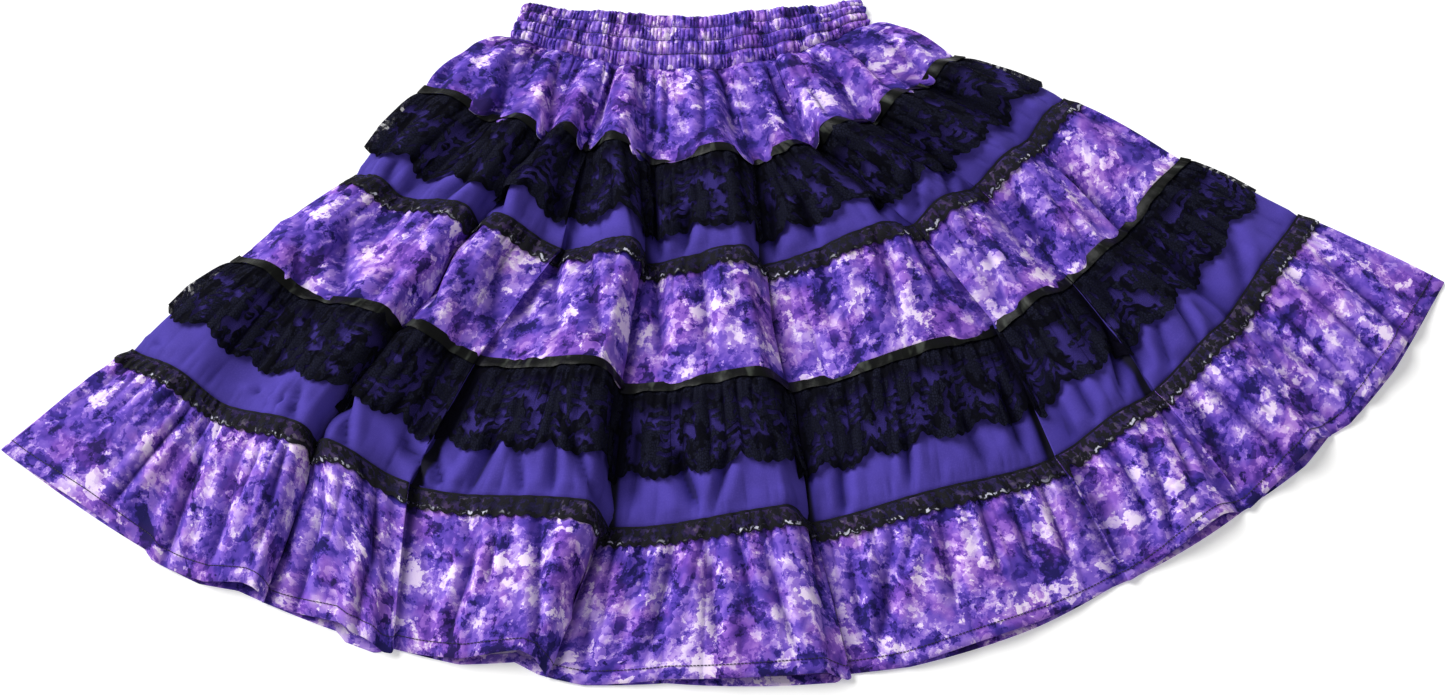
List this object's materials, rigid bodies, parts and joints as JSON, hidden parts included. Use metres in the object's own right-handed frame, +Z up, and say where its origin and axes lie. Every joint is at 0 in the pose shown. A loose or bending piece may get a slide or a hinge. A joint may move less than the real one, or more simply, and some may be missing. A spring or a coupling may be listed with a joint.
{
  "type": "square dance skirt",
  "caption": "Tiered square dance skirt laid flat: shirred elastic waistband, gathered printed and plain tiers, lace ruffles, satin ribbon and narrow lace along the seams.",
  "frame": {"origin": "on the table, under the centre of the outline of the skirt as it lies", "axes": "+X across the skirt from its left to its right as seen, +Y from the hem towards the waist, +Z up off the table"},
  "size_m": [1.2916, 0.6652, 0.0406],
  "materials": {
    "printed_cotton": "matt woven cotton with a mottled violet, indigo and pale lilac print",
    "purple_cotton": "matt plain purple woven cotton",
    "black_lace": "black floral knitted lace on fine net",
    "black_satin": "soft satin ribbon with a low sheen"
  },
  "bodies": {
    "root": {"waistband_front": "printed_cotton", "waistband_back": "printed_cotton", "tier1_front": "printed_cotton", "tier1_back": "printed_cotton", "tier2_front": "purple_cotton", "tier2_back": "purple_cotton", "tier3_front": "printed_cotton", "tier3_back": "printed_cotton", "tier4_front": "purple_cotton", "tier4_back": "purple_cotton", "tier5_front": "printed_cotton", "tier5_back": "printed_cotton", "ribbon1_front": "black_satin", "ribbon1_back": "black_satin", "ribbon2_front": "black_satin", "ribbon2_back": "black_satin", "lace_ruffle1_front": "black_lace", "lace_ruffle1_back": "black_lace", "lace_ruffle2_front": "black_lace", "lace_ruffle2_back": "black_lace", "trim1_front": "black_lace", "trim1_back": "black_lace", "trim2_front": "black_lace", "trim2_back": "black_lace"}
  },
  "joints": []
}
